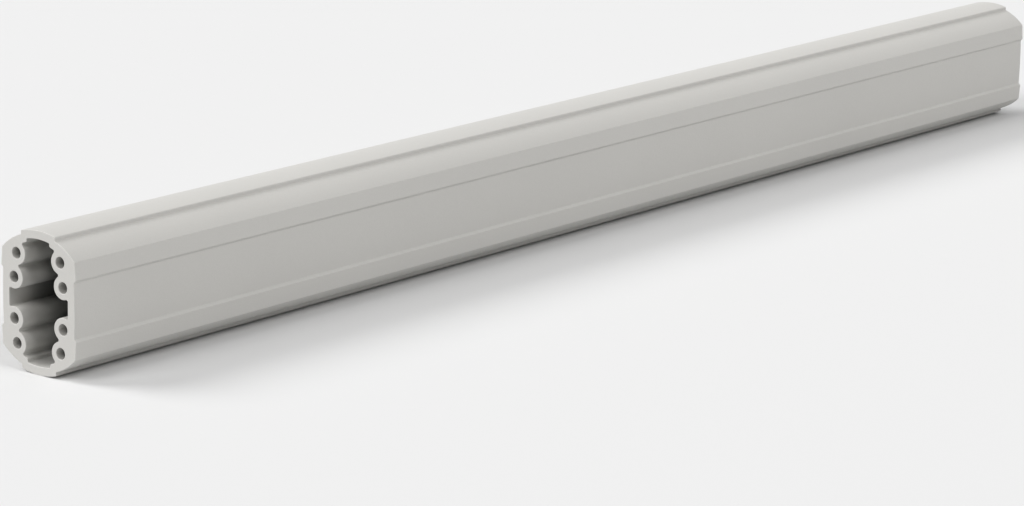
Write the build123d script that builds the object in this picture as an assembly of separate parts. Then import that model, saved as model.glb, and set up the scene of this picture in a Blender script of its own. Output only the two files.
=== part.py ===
"""Support arm profile: one length of extruded aluminium section, sawn square at both ends.

X runs along the arm, Y across it and Z up. The origin is the centre of the section at mid-length.
The section is the same in all four quarters, so both outlines are drawn once, for +Y and +Z.
"""
from build123d import *
import math
import os

# Overall size, in millimetres
arm_length = 1000.0
arm_height = 83.0
arm_width = 58.0
wall = 5.0

# Cap: the proud convex band along the top and along the bottom
cap_radius = 49.0
cap_step = 2.3
cap_side_wall = 4.3

# Shoulder: the convex slope from the foot of the cap's step to the land
shoulder_radius = 38.0
shoulder_width = 15.0

# Land: the band of each side that stands proud above and below the recess
land_drop = 13.55
land_height = 10.4
land_lean = 0.8

# Recess: the wide shallow panel of each side, crowned a little at mid-height
recess_depth = 1.45
recess_crown = 0.3

# Screw channels: the hole in each and the round boss around it, placed from the side and from the top
channel_diameter = 6.8
boss_radius = 6.8
boss_gap = 0.54
outer_channel_inset = 12.0
inner_channel_inset = 10.0
outer_channel_drop = 15.5

# Edges and corners
edge_radius = 0.9
corner_radius = 0.6
pocket_fillet = 1.0
cavity_fillet = 1.2
end_chamfer = 0.35

# Two points nearer than this are one corner
same_place = 0.01

# Places that follow from the sizes; a point of the section is a vector with Y first and Z second
half_height = arm_height / 2
half_width = arm_width / 2
cap_half_width = half_width - land_lean - shoulder_width
cap_pocket_half_width = cap_half_width - cap_side_wall
recess_half_width = half_width - recess_depth
cavity_half_width = recess_half_width + recess_crown - wall
channel_run = outer_channel_inset - inner_channel_inset
channel_rise = math.sqrt((2 * boss_radius + boss_gap)**2 - channel_run**2)
outer_channel = Vector(half_width - outer_channel_inset, half_height - outer_channel_drop)
inner_channel = outer_channel + Vector(channel_run, -channel_rise)


def height_on_arc(centre, radius, y):
    """Z of the upper point at y on a circle."""
    return centre.Y + math.sqrt(radius**2 - (y - centre.X)**2)


def meet_of_circles(centre_a, radius_a, centre_b, radius_b, side):
    """One of the two points where two circles cross; side is +1 to the left of a-to-b, -1 to the right."""
    line = centre_b - centre_a
    along = (line.length**2 + radius_a**2 - radius_b**2) / (2 * line.length)
    across = math.sqrt(radius_a**2 - along**2)
    direction = line.normalized()
    left = Vector(-direction.Y, direction.X)
    return centre_a + direction * along + left * (side * across)


def toward(start, target, distance):
    """The point at a distance from start on the way to target."""
    return start + (target - start).normalized() * distance


def arc_about(centre, start, end):
    """The shorter arc from start to end about a centre."""
    middle = toward(centre, (start + end) * 0.5, (start - centre).length)
    return ThreePointArc(start, middle, end)


def in_all_quarters(quarter):
    """A quarter outline and its three mirror images, as one face."""
    upper = quarter + [edge.mirror(Plane.YZ) for edge in quarter]
    whole = upper + [edge.mirror(Plane.XZ) for edge in upper]
    return make_face(whole)


cap_centre = Vector(0, half_height - cap_radius)
cap_edge = Vector(cap_half_width, height_on_arc(cap_centre, cap_radius, cap_half_width))
step_foot = cap_edge - Vector(0, cap_step)
land_top = Vector(half_width - land_lean, half_height - land_drop)
land_foot = land_top + Vector(land_lean, -land_height)
recess_edge = land_foot - Vector(recess_depth, recess_depth)
shoulder_centre = meet_of_circles(step_foot, shoulder_radius, land_top, shoulder_radius, -1)

# The cap pocket of the cavity, inside the cap and its step
cap_inside = cap_radius - wall
shoulder_inside = shoulder_radius - wall
pocket_top = Vector(
    cap_pocket_half_width, height_on_arc(cap_centre, cap_inside, cap_pocket_half_width)
)
pocket_foot = Vector(
    cap_pocket_half_width, height_on_arc(shoulder_centre, shoulder_inside, cap_pocket_half_width)
)


def outer_outline():
    """Quarter of the outside, from the top of the cap to the middle of the side."""
    crown = Vector(recess_half_width + recess_crown, 0)
    crown_radius = (recess_edge.Y**2 + recess_crown**2) / (2 * recess_crown)
    crown_centre = crown - Vector(crown_radius, 0)
    return [
        arc_about(cap_centre, Vector(0, half_height), cap_edge),
        Line(cap_edge, step_foot),
        arc_about(shoulder_centre, step_foot, land_top),
        Line(land_top, land_foot),
        Line(land_foot, recess_edge),
        arc_about(crown_centre, recess_edge, crown),
    ]


def cavity_outline():
    """Quarter of the cavity: cap pocket, shoulder, outer boss, inner boss, then the side wall."""
    boss_reach = boss_radius + cavity_fillet
    boss_side = Vector(-boss_radius, 0)
    notch = meet_of_circles(shoulder_centre, shoulder_inside - cavity_fillet, outer_channel, boss_reach, 1)
    cusp = meet_of_circles(outer_channel, boss_reach, inner_channel, boss_reach, -1)
    corner_y = cavity_half_width - cavity_fillet
    corner_drop = math.sqrt(boss_reach**2 - (corner_y - inner_channel.X)**2)
    corner = Vector(corner_y, inner_channel.Y - corner_drop)

    shoulder_end = toward(shoulder_centre, notch, shoulder_inside)
    outer_boss_start = toward(notch, outer_channel, cavity_fillet)
    outer_boss_end = toward(cusp, outer_channel, cavity_fillet)
    inner_boss_start = toward(cusp, inner_channel, cavity_fillet)
    inner_boss_end = toward(corner, inner_channel, cavity_fillet)
    side_wall_top = corner + Vector(cavity_fillet, 0)
    return [
        arc_about(cap_centre, Vector(0, half_height - wall), pocket_top),
        Line(pocket_top, pocket_foot),
        arc_about(shoulder_centre, pocket_foot, shoulder_end),
        arc_about(notch, shoulder_end, outer_boss_start),
        ThreePointArc(outer_boss_start, outer_channel + boss_side, outer_boss_end),
        arc_about(cusp, outer_boss_end, inner_boss_start),
        ThreePointArc(inner_boss_start, inner_channel + boss_side, inner_boss_end),
        arc_about(corner, inner_boss_end, side_wall_top),
        Line(side_wall_top, Vector(cavity_half_width, 0)),
    ]


def round_corners(face, corners, radius):
    """Fillet the vertices of a face that lie at these corners, in all four quarters."""
    chosen = [
        vertex
        for vertex in face.vertices()
        if any((Vector(abs(vertex.X), abs(vertex.Y)) - corner).length < same_place for corner in corners)
    ]
    return fillet(chosen, radius)


def screw_channels():
    """The eight holes that run the length of the arm."""
    quarter = [outer_channel, inner_channel]
    places = [Vector(sy * c.X, sz * c.Y) for c in quarter for sy in (-1, 1) for sz in (-1, 1)]
    return [Pos(place) * Circle(channel_diameter / 2) for place in places]


outside = in_all_quarters(outer_outline())
outside = round_corners(outside, [cap_edge, land_top, land_foot], edge_radius)
outside = round_corners(outside, [step_foot, recess_edge], corner_radius)
cavity = round_corners(in_all_quarters(cavity_outline()), [pocket_top, pocket_foot], pocket_fillet)
section = outside - cavity - screw_channels()

arm_profile = extrude(Plane.YZ * section, arm_length / 2, both=True)
end_faces = [arm_profile.faces().sort_by(Axis.X)[index] for index in (0, -1)]
arm_profile = chamfer([edge for face in end_faces for edge in face.edges()], end_chamfer)
arm_profile.label = "arm_profile"

os.makedirs("parts", exist_ok=True)
export_step(arm_profile, "parts/arm_profile.step")
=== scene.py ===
import math

import bmesh
import bpy
from mathutils import Matrix, Vector


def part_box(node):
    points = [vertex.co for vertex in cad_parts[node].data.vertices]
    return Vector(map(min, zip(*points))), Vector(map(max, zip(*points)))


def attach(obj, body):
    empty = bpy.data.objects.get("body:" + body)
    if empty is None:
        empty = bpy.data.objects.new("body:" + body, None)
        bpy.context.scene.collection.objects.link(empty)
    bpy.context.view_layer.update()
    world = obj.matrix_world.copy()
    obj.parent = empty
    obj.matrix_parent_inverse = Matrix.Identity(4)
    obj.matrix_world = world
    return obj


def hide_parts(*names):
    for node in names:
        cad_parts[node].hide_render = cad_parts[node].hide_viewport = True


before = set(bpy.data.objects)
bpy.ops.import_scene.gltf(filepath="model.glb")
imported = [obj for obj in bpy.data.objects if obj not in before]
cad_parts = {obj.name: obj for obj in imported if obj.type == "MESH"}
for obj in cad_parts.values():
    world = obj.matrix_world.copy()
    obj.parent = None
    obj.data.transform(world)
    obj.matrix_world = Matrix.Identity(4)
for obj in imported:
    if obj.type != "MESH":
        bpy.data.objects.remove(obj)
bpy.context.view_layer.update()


# ---- Arm profile ---------------------------------------------------------------------------------
# One length of extruded aluminium: caps, shoulders, side lands, cable cavity and screw channels are
# all one wall of metal, pressed through one die. It is sawn square, its cut edges are broken, and
# then it is powder-coated light grey all over, ends included.

# Sizes of the section, in metres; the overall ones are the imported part's
half_length, half_width, half_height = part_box("arm_profile")[1]
wall = 0.005
cap_radius = 0.049
cap_step = 0.0023
cap_side_wall = 0.0043
shoulder_radius = 0.038
shoulder_width = 0.015
land_drop = 0.01355
land_height = 0.0104
land_lean = 0.0008
recess_depth = 0.00145
recess_crown = 0.0003
channel_radius = 0.0034
boss_radius = 0.0068
boss_gap = 0.00054
outer_channel_inset = 0.012
inner_channel_inset = 0.010
outer_channel_drop = 0.0155
edge_radius = 0.0009
corner_radius = 0.0006
cavity_fillet = 0.0012
pocket_fillet = 0.0010
cut_edge_radius = 0.00025
worn_and_highlit_band = 0.0003

# How finely the round stretches are drawn, and how near two points are that count as one
longest_facet = 0.0011
widest_facet_turn = math.radians(8)
cut_edge_facets = 4
same_place = 1e-6


def spot(across, up):
    """A point of the section, which is drawn in the plane X = 0, across and up from its centre."""
    return Vector((0.0, across, up))


def on_top_of(centre, radius, across):
    """The point of a circle's upper half that stands at a distance across from the section's centre."""
    return spot(across, centre.z + math.sqrt(radius**2 - (across - centre.y)**2))


def touching_both(first, first_reach, second, second_reach, side):
    """The point at its own reach from each of two centres; side is +1 left of the way, -1 right of it."""
    way = second - first
    along = (way.length**2 + first_reach**2 - second_reach**2) / (2 * way.length)
    aside = math.sqrt(first_reach**2 - along**2)
    ahead = way.normalized()
    left = Vector((0.0, -ahead.z, ahead.y))
    return first + ahead * along + left * (side * aside)


def toward(start, target, distance):
    """The point at a distance from start on the way to target."""
    return start + (target - start).normalized() * distance


def draw_straight(section, pen, end):
    """Draw a straight stretch from the pen to a point."""
    grown = bmesh.ops.extrude_vert_indiv(section, verts=[pen])
    bmesh.ops.translate(section, verts=grown["verts"], vec=end - pen.co)
    return grown["verts"][0]


def draw_round(section, pen, centre, end):
    """Swing the pen about a centre until it points at end."""
    start_arm = pen.co - centre
    end_arm = end - centre
    turn = math.atan2(start_arm.cross(end_arm).x, start_arm.dot(end_arm))
    by_length = abs(turn) * start_arm.length / longest_facet
    facets = math.ceil(max(by_length, abs(turn) / widest_facet_turn))
    swung = bmesh.ops.spin(
        section, geom=[pen], cent=centre, axis=(1, 0, 0), angle=turn, steps=facets, use_duplicate=False
    )
    return swung["geom_last"][0]


def round_off(section, corner, radius):
    """Round a corner of an outline."""
    before, after = [edge.other_vert(corner).co - corner.co for edge in corner.link_edges]
    turn = math.pi - before.angle(after)
    bmesh.ops.bevel(
        section,
        geom=[corner],
        affect="VERTICES",
        offset_type="OFFSET",
        offset=radius * math.tan(turn / 2),
        segments=math.ceil(turn / widest_facet_turn),
        profile=0.5,
        material=-1,
    )


def put_in_order(items, place_of):
    """List the points, edges or faces of a mesh by where they are, so that the order is always the same."""
    for place, item in enumerate(sorted(items, key=place_of)):
        item.index = place
    items.sort()


section = bmesh.new()
outside = section.verts.layers.float.new("outside")
in_channel = section.verts.layers.float.new("in_channel")

# Outside, a quarter of it: cap, its step, shoulder, land, step into the recess, and the recess
cap_half_width = half_width - land_lean - shoulder_width
cap_centre = spot(0, half_height - cap_radius)
cap_edge = on_top_of(cap_centre, cap_radius, cap_half_width)
step_foot = cap_edge - spot(0, cap_step)
land_top = spot(half_width - land_lean, half_height - land_drop)
land_foot = land_top + spot(land_lean, -land_height)
recess_edge = land_foot - spot(recess_depth, recess_depth)
recess_half_width = half_width - recess_depth
recess_middle = spot(recess_half_width + recess_crown, 0)
recess_radius = (recess_edge.z**2 + recess_crown**2) / (2 * recess_crown)
recess_centre = recess_middle - spot(recess_radius, 0)
shoulder_centre = touching_both(step_foot, shoulder_radius, land_top, shoulder_radius, -1)

cap_top = bmesh.ops.create_vert(section, co=spot(0, half_height))["vert"][0]
at_cap_edge = draw_round(section, cap_top, cap_centre, cap_edge)
at_step_foot = draw_straight(section, at_cap_edge, step_foot)
at_land_top = draw_round(section, at_step_foot, shoulder_centre, land_top)
at_land_foot = draw_straight(section, at_land_top, land_foot)
at_recess_edge = draw_straight(section, at_land_foot, recess_edge)
draw_round(section, at_recess_edge, recess_centre, recess_middle)
for corner in (at_cap_edge, at_land_top, at_land_foot):
    round_off(section, corner, edge_radius)
for corner in (at_step_foot, at_recess_edge):
    round_off(section, corner, corner_radius)
for vert in section.verts:
    vert[outside] = 1.0

# Cavity, a quarter of it: under the cap, under the shoulder, round the two bosses, down the side wall
cap_inside = cap_radius - wall
shoulder_inside = shoulder_radius - wall
pocket_half_width = cap_half_width - cap_side_wall
pocket_top = on_top_of(cap_centre, cap_inside, pocket_half_width)
pocket_foot = on_top_of(shoulder_centre, shoulder_inside, pocket_half_width)
cavity_half_width = recess_half_width + recess_crown - wall
channel_run = outer_channel_inset - inner_channel_inset
channel_rise = math.sqrt((2 * boss_radius + boss_gap)**2 - channel_run**2)
outer_channel = spot(half_width - outer_channel_inset, half_height - outer_channel_drop)
inner_channel = outer_channel + spot(channel_run, -channel_rise)
boss_side = spot(-boss_radius, 0)
boss_reach = boss_radius + cavity_fillet
notch = touching_both(shoulder_centre, shoulder_inside - cavity_fillet, outer_channel, boss_reach, 1)
cusp = touching_both(outer_channel, boss_reach, inner_channel, boss_reach, -1)
corner_across = cavity_half_width - cavity_fillet
corner_fall = math.sqrt(boss_reach**2 - (corner_across - inner_channel.y)**2)
side_corner = spot(corner_across, inner_channel.z - corner_fall)

cavity_top = bmesh.ops.create_vert(section, co=spot(0, half_height - wall))["vert"][0]
at_pocket_top = draw_round(section, cavity_top, cap_centre, pocket_top)
at_pocket_foot = draw_straight(section, at_pocket_top, pocket_foot)
pen = draw_round(section, at_pocket_foot, shoulder_centre, toward(shoulder_centre, notch, shoulder_inside))
pen = draw_round(section, pen, notch, outer_channel)
for channel, next_hollow in ((outer_channel, cusp), (inner_channel, side_corner)):
    pen = draw_round(section, pen, channel, channel + boss_side)
    pen = draw_round(section, pen, channel, next_hollow)
    next_end = inner_channel if next_hollow is cusp else side_corner + spot(cavity_fillet, 0)
    pen = draw_round(section, pen, next_hollow, next_end)
draw_straight(section, pen, spot(cavity_half_width, 0))
for corner in (at_pocket_top, at_pocket_foot):
    round_off(section, corner, pocket_fillet)

# Screw channels: two to the quarter, each a round hole in its boss
facing_along = Matrix.Rotation(math.pi / 2, 4, "Y")
for channel in (outer_channel, inner_channel):
    hole = bmesh.ops.create_circle(
        section,
        radius=channel_radius,
        segments=math.ceil(math.tau / widest_facet_turn),
        matrix=Matrix.Translation(channel) @ facing_along,
    )
    for vert in hole["verts"]:
        vert[in_channel] = 1.0

# The four quarters are alike
for axis in ("Y", "Z"):
    drawn = section.verts[:] + section.edges[:]
    bmesh.ops.mirror(section, geom=drawn, axis=axis, merge_dist=same_place)


def faces_across(bar, station):
    """The faces that lie across the bar at this station along it."""
    return [face for face in bar.faces if all(abs(vert.co.x - station) < same_place for vert in face.verts)]


def points_of(faces):
    """The points of these faces, each of them once."""
    return list({vert for face in faces for vert in face.verts})


# The bar: the section filled with metal, drawn out to its length, its cut edges rounded
bmesh.ops.triangle_fill(section, use_beauty=True, edges=section.edges[:], normal=(-1, 0, 0))
sawn_place = half_length - cut_edge_radius
bmesh.ops.translate(section, verts=section.verts[:], vec=(-sawn_place, 0, 0))
far_end = bmesh.ops.extrude_face_region(section, geom=section.faces[:])["geom"]
far_verts = [item for item in far_end if isinstance(item, bmesh.types.BMVert)]
bmesh.ops.translate(section, verts=far_verts, vec=(2 * sawn_place, 0, 0))
for end in (-1, 1):
    cut_face = faces_across(section, end * sawn_place)
    for facet in range(cut_edge_facets):
        from_turn = math.pi / 2 * facet / cut_edge_facets
        to_turn = math.pi / 2 * (facet + 1) / cut_edge_facets
        inward = cut_edge_radius * (math.cos(from_turn) - math.cos(to_turn))
        outward = cut_edge_radius * (math.sin(to_turn) - math.sin(from_turn))
        bmesh.ops.inset_region(
            section, faces=cut_face, thickness=inward, use_boundary=True, use_even_offset=True
        )
        bmesh.ops.translate(section, verts=points_of(cut_face), vec=(end * outward, 0, 0))

# The coat is thin on the cut edges, and they carry a painted highlight: they are marked, up to a ring on
# the cut face and one on the sides
worn_and_highlit = section.verts.layers.float.new("worn_and_highlit")
for vert in section.verts:
    vert[worn_and_highlit] = 1.0
for end in (-1, 1):
    cut_face = faces_across(section, end * half_length)
    bmesh.ops.inset_region(
        section, faces=cut_face, thickness=worn_and_highlit_band, use_boundary=True, use_even_offset=True
    )
    for vert in points_of(cut_face):
        vert[worn_and_highlit] = 0.0
    ring = bmesh.ops.bisect_plane(
        section,
        geom=section.verts[:] + section.edges[:] + section.faces[:],
        plane_co=(end * (sawn_place - worn_and_highlit_band), 0, 0),
        plane_no=(1, 0, 0),
    )
    for item in ring["geom_cut"]:
        if isinstance(item, bmesh.types.BMVert):
            item[worn_and_highlit] = 0.0
bmesh.ops.recalc_face_normals(section, faces=section.faces[:])
for face in section.faces:
    face.smooth = True

# Drawing out a section lists its edges and faces in a new order each time, so the finished bar gets a
# fixed one. Its points come first, because the edges and faces go by the numbers of their points.
put_in_order(section.verts, lambda vert: vert.co[:])
put_in_order(section.edges, lambda edge: sorted(vert.index for vert in edge.verts))
put_in_order(section.faces, lambda face: sorted(vert.index for vert in face.verts))

arm_mesh = bpy.data.meshes.new("support_arm")
section.to_mesh(arm_mesh)
section.free()
arm = bpy.data.objects.new("support_arm", arm_mesh)
bpy.context.scene.collection.objects.link(arm)
flats_stay_flat = arm.modifiers.new("flats_stay_flat", "WEIGHTED_NORMAL")
flats_stay_flat.mode = "FACE_AREA"
flats_stay_flat.weight = 50

# Powder coat: satin light grey, with a fine orange peel from the way the melted powder flows. It is
# nearly even all over, and a little lighter on the cut edges, where it draws back and where a painted
# highlight runs along them. It can't reach far into the cavity, and less far into the channels, so it
# fades there to the drawn aluminium, whose darker colour also paints the shade deep in the hollows.
coat_colour = (0.548, 0.538, 0.513)
cloud_size = 0.11
cloud_tones = (0.985, 1.015)
cloud_roughness = (-0.03, 0.03)
orange_peel_size = 0.0013
orange_peel_height = 0.00008
powder_grain_size = 0.0004
powder_grain_tones = (0.97, 1.03)
powder_grain_roughness = (0.43, 0.49)
powder_grain_relief = 0.3

# The cut edges: how much of their lighter colour, part wear and part painted highlight, shows from patch to
# patch
worn_and_highlit_edge_colour = (0.61, 0.60, 0.575, 1)
wear_and_highlight_patch_size = 0.006
wear_and_highlight_shares = (0.35, 0.75)

# How deep in the coat starts to thin, and where it ends, give or take its ragged border; the darker
# bare metal past it also paints the shade deep in the hollows. A channel is narrow, so the coat and
# the painted shade fade this many times sooner in it.
full_coat_and_light_reach = 0.007
last_coat_and_light_reach = 0.036
coat_and_shade_border_patch_size = 0.009
coat_and_shade_border_shifts = (-0.005, 0.005)
channel_closeness = 3.2

# The drawn aluminium: fine die lines, 50 times as long as they are wide. Its darker colour is also
# painted shade deep in the hollows
bare_metal_and_painted_shade = (0.43, 0.435, 0.42, 1)
bare_metal_roughness = (0.38, 0.50)
die_line_width = 0.0006
die_line_height = 0.000008
along_die_lines = (1 / 50, 1, 1)


def put_node(tree, kind, inputs=(), **settings):
    """Add a node with its settings; each input gets a value, or the socket that feeds it."""
    node = tree.nodes.new(kind)
    for name, value in settings.items():
        setattr(node, name, value)
    for name, value in dict(inputs).items():
        if isinstance(value, bpy.types.NodeSocket):
            tree.links.new(value, node.inputs[name])
        else:
            node.inputs[name].default_value = value
    return node


def noise(tree, place, size, detail):
    """Noise whose lumps are about this size, in metres."""
    fed = {"Vector": place, "Scale": 1 / size, "Detail": detail}
    return put_node(tree, "ShaderNodeTexNoise", fed).outputs["Fac"]


def spread(tree, value, to_low, to_high, from_low=0.3, from_high=0.7):
    """Turn a value's range into another; noise lies mostly between 0.3 and 0.7."""
    fed = {"Value": value, "From Min": from_low, "From Max": from_high, "To Min": to_low, "To Max": to_high}
    return put_node(tree, "ShaderNodeMapRange", fed).outputs["Result"]


def blend(tree, share, first, second):
    """First value at share 0, second at share 1."""
    return spread(tree, share, first, second, from_low=0.0, from_high=1.0)


def maths(tree, operation, first, second=0.0):
    """One step of arithmetic, on one number or two."""
    return put_node(tree, "ShaderNodeMath", {0: first, 1: second}, operation=operation).outputs[0]


def blend_colours(tree, share, first, second):
    """First colour at share 0, second at share 1; inputs 6 and 7 and output 2 are the node's colours."""
    fed = {0: share, 6: first, 7: second}
    return put_node(tree, "ShaderNodeMix", fed, data_type="RGBA").outputs[2]


coat = bpy.data.materials.new("light_grey_powder_coat")
coat.use_nodes = True
tree = coat.node_tree
shader = tree.nodes["Principled BSDF"]
place = put_node(tree, "ShaderNodeTexCoord").outputs["Object"]
cloud = noise(tree, place, cloud_size, detail=2)
peel = noise(tree, place, orange_peel_size, detail=1)
grain = noise(tree, place, powder_grain_size, detail=1)
worn_and_highlit_share = put_node(tree, "ShaderNodeAttribute", attribute_name="worn_and_highlit").outputs["Fac"]
outside_share = put_node(tree, "ShaderNodeAttribute", attribute_name="outside").outputs["Fac"]
channel_share = put_node(tree, "ShaderNodeAttribute", attribute_name="in_channel").outputs["Fac"]

# The coat's colour, lighter where the edges are worn and where a painted highlight runs along them
cloud_tone = spread(tree, cloud, *cloud_tones)
tone = maths(tree, "MULTIPLY", cloud_tone, spread(tree, grain, *powder_grain_tones))
coat_shade = put_node(
    tree, "ShaderNodeVectorMath", {"Vector": coat_colour, "Scale": tone}, operation="SCALE"
).outputs["Vector"]
wear_and_highlight_patches = noise(tree, place, wear_and_highlight_patch_size, detail=2)
wear_and_highlight = maths(tree, "MULTIPLY", worn_and_highlit_share, spread(tree, wear_and_highlight_patches, *wear_and_highlight_shares))
coat_with_worn_highlit_edges = blend_colours(tree, wear_and_highlight, coat_shade, worn_and_highlit_edge_colour)

# Where the metal is bare: inside, and the more so the deeper in from the nearer end; its darker colour
# there is also painted shade
along = put_node(tree, "ShaderNodeSeparateXYZ", {"Vector": place}).outputs["X"]
depth = maths(tree, "SUBTRACT", half_length, maths(tree, "ABSOLUTE", along))
closeness = blend(tree, channel_share, 1.0, channel_closeness)
felt_depth = maths(tree, "MULTIPLY", depth, closeness)
border_patches = noise(tree, place, coat_and_shade_border_patch_size, detail=2)
ragged_depth = maths(tree, "ADD", felt_depth, spread(tree, border_patches, *coat_and_shade_border_shifts))
coat_thinning_and_shading = spread(tree, ragged_depth, 0.0, 1.0, from_low=full_coat_and_light_reach, from_high=last_coat_and_light_reach)
bare_and_shaded_share = maths(tree, "MULTIPLY", maths(tree, "SUBTRACT", 1.0, outside_share), coat_thinning_and_shading)
shade = blend_colours(tree, bare_and_shaded_share, coat_with_worn_highlit_edges, bare_metal_and_painted_shade)

# Roughness and relief: the coat's peel and grain, and the metal's die lines
mapped = {"Vector": place, "Scale": along_die_lines}
stretched_place = put_node(tree, "ShaderNodeMapping", mapped).outputs["Vector"]
die_lines = noise(tree, stretched_place, die_line_width, detail=2)
grain_rough = spread(tree, grain, *powder_grain_roughness)
coat_rough = maths(tree, "ADD", spread(tree, cloud, *cloud_roughness), grain_rough)
rough = blend(tree, bare_and_shaded_share, coat_rough, spread(tree, die_lines, *bare_metal_roughness))
grain_relief = maths(tree, "MULTIPLY", grain, powder_grain_relief)
coat_relief = maths(tree, "MULTIPLY", maths(tree, "ADD", peel, grain_relief), orange_peel_height)
metal_relief = maths(tree, "MULTIPLY", die_lines, die_line_height)
relief = blend(tree, bare_and_shaded_share, coat_relief, metal_relief)
bump = put_node(tree, "ShaderNodeBump", {"Height": relief, "Distance": 1.0})
tree.links.new(shade, shader.inputs["Base Color"])
tree.links.new(bare_and_shaded_share, shader.inputs["Metallic"])
tree.links.new(rough, shader.inputs["Roughness"])
tree.links.new(bump.outputs["Normal"], shader.inputs["Normal"])
arm.data.materials.append(coat)

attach(arm, "root")
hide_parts("arm_profile")


# ---- Floor ---------------------------------------------------------------------------------------
# A plain pale studio floor, level, that the arm stands on. It is painted board, and runs so far out
# that only a very low view sees the backdrop past it.
floor_half_size = 12.0
floor_colour = (0.72, 0.72, 0.72, 1)
floor_roughness = 0.9
floor_shape = bmesh.new()
bmesh.ops.create_grid(floor_shape, x_segments=1, y_segments=1, size=floor_half_size)
bmesh.ops.translate(floor_shape, verts=floor_shape.verts[:], vec=(0, 0, -half_height))
floor_mesh = bpy.data.meshes.new("floor")
floor_shape.to_mesh(floor_mesh)
floor_shape.free()
floor = bpy.data.objects.new("floor", floor_mesh)
bpy.context.scene.collection.objects.link(floor)
paint = bpy.data.materials.new("pale_floor_paint")
paint.use_nodes = True
paint_shader = paint.node_tree.nodes["Principled BSDF"].inputs
paint_shader["Base Color"].default_value = floor_colour
paint_shader["Roughness"].default_value = floor_roughness
floor.data.materials.append(paint)


# ---- Light ---------------------------------------------------------------------------------------
# Soft studio light: an even pale room, and three broad soft boxes whose light is as even as from very
# far off. The room shows a paler tone, straight on and in reflections, than the light that it gives.
room_light = 0.25
backdrop_tone = 0.85
room = bpy.data.worlds.new("room")
bpy.context.scene.world = room
room.use_nodes = True
room_tree = room.node_tree
ray = put_node(room_tree, "ShaderNodeLightPath").outputs
looked_at = maths(room_tree, "MAXIMUM", ray["Is Camera Ray"], ray["Is Glossy Ray"])
seen = maths(room_tree, "MAXIMUM", looked_at, ray["Is Transmission Ray"])
room_strength = blend(room_tree, seen, room_light, backdrop_tone)
backdrop = room_tree.nodes["Background"].inputs
backdrop["Color"].default_value = (1, 1, 1, 1)
room_tree.links.new(room_strength, backdrop["Strength"])


def stand_off(azimuth, elevation, aim, distance):
    """Place that looks at the aim point from this far away, with its up side up."""
    return (
        Matrix.Translation(aim)
        @ Matrix.Rotation(math.radians(azimuth), 4, "Z")
        @ Matrix.Rotation(math.radians(90 - elevation), 4, "X")
        @ Matrix.Translation((0, 0, distance))
    )


# Name, azimuth and elevation in degrees, and strength
soft_boxes = [
    ("side_box", 0, 45, 1.2),
    ("back_box", 205, 45, 1.85),
    ("near_end_box", 265, 40, 1.25),
]
soft_box_spread = math.radians(30)

# Their light is as from very far off wherever they stand, so this only keeps them clear of the arm
soft_box_distance = 3.0
lit_middle = Vector((0, 0, 0))
for name, azimuth, elevation, strength in soft_boxes:
    soft_box = bpy.data.lights.new(name, "SUN")
    soft_box.angle = soft_box_spread
    soft_box.energy = strength
    soft_box_stand = bpy.data.objects.new(name, soft_box)
    soft_box_stand.matrix_world = stand_off(azimuth, elevation, lit_middle, soft_box_distance)
    bpy.context.scene.collection.objects.link(soft_box_stand)


# ---- Camera --------------------------------------------------------------------------------------
# A long lens, a little above the arm and off its near end. It aims a little nearer than the arm's
# middle and just under it, and is rolled a little, so that the arm fills the view from side to side.
lens_length = 135.45
film_width = 36
farthest_seen = 60
camera_azimuth = 308.10
camera_elevation = 13.83
camera_distance = 2.470
camera_roll = math.radians(1.17)
aim = Vector((-0.0757, 0, -0.0480))
camera = bpy.data.cameras.new("camera")
camera.lens = lens_length
camera.sensor_width = film_width
camera.clip_end = farthest_seen
roll = Matrix.Rotation(camera_roll, 4, "Z")
camera_stand = bpy.data.objects.new("camera", camera)
camera_stand.matrix_world = stand_off(camera_azimuth, camera_elevation, aim, camera_distance) @ roll
bpy.context.scene.collection.objects.link(camera_stand)
bpy.context.scene.camera = camera_stand

bpy.context.scene.view_settings.view_transform = "Standard"
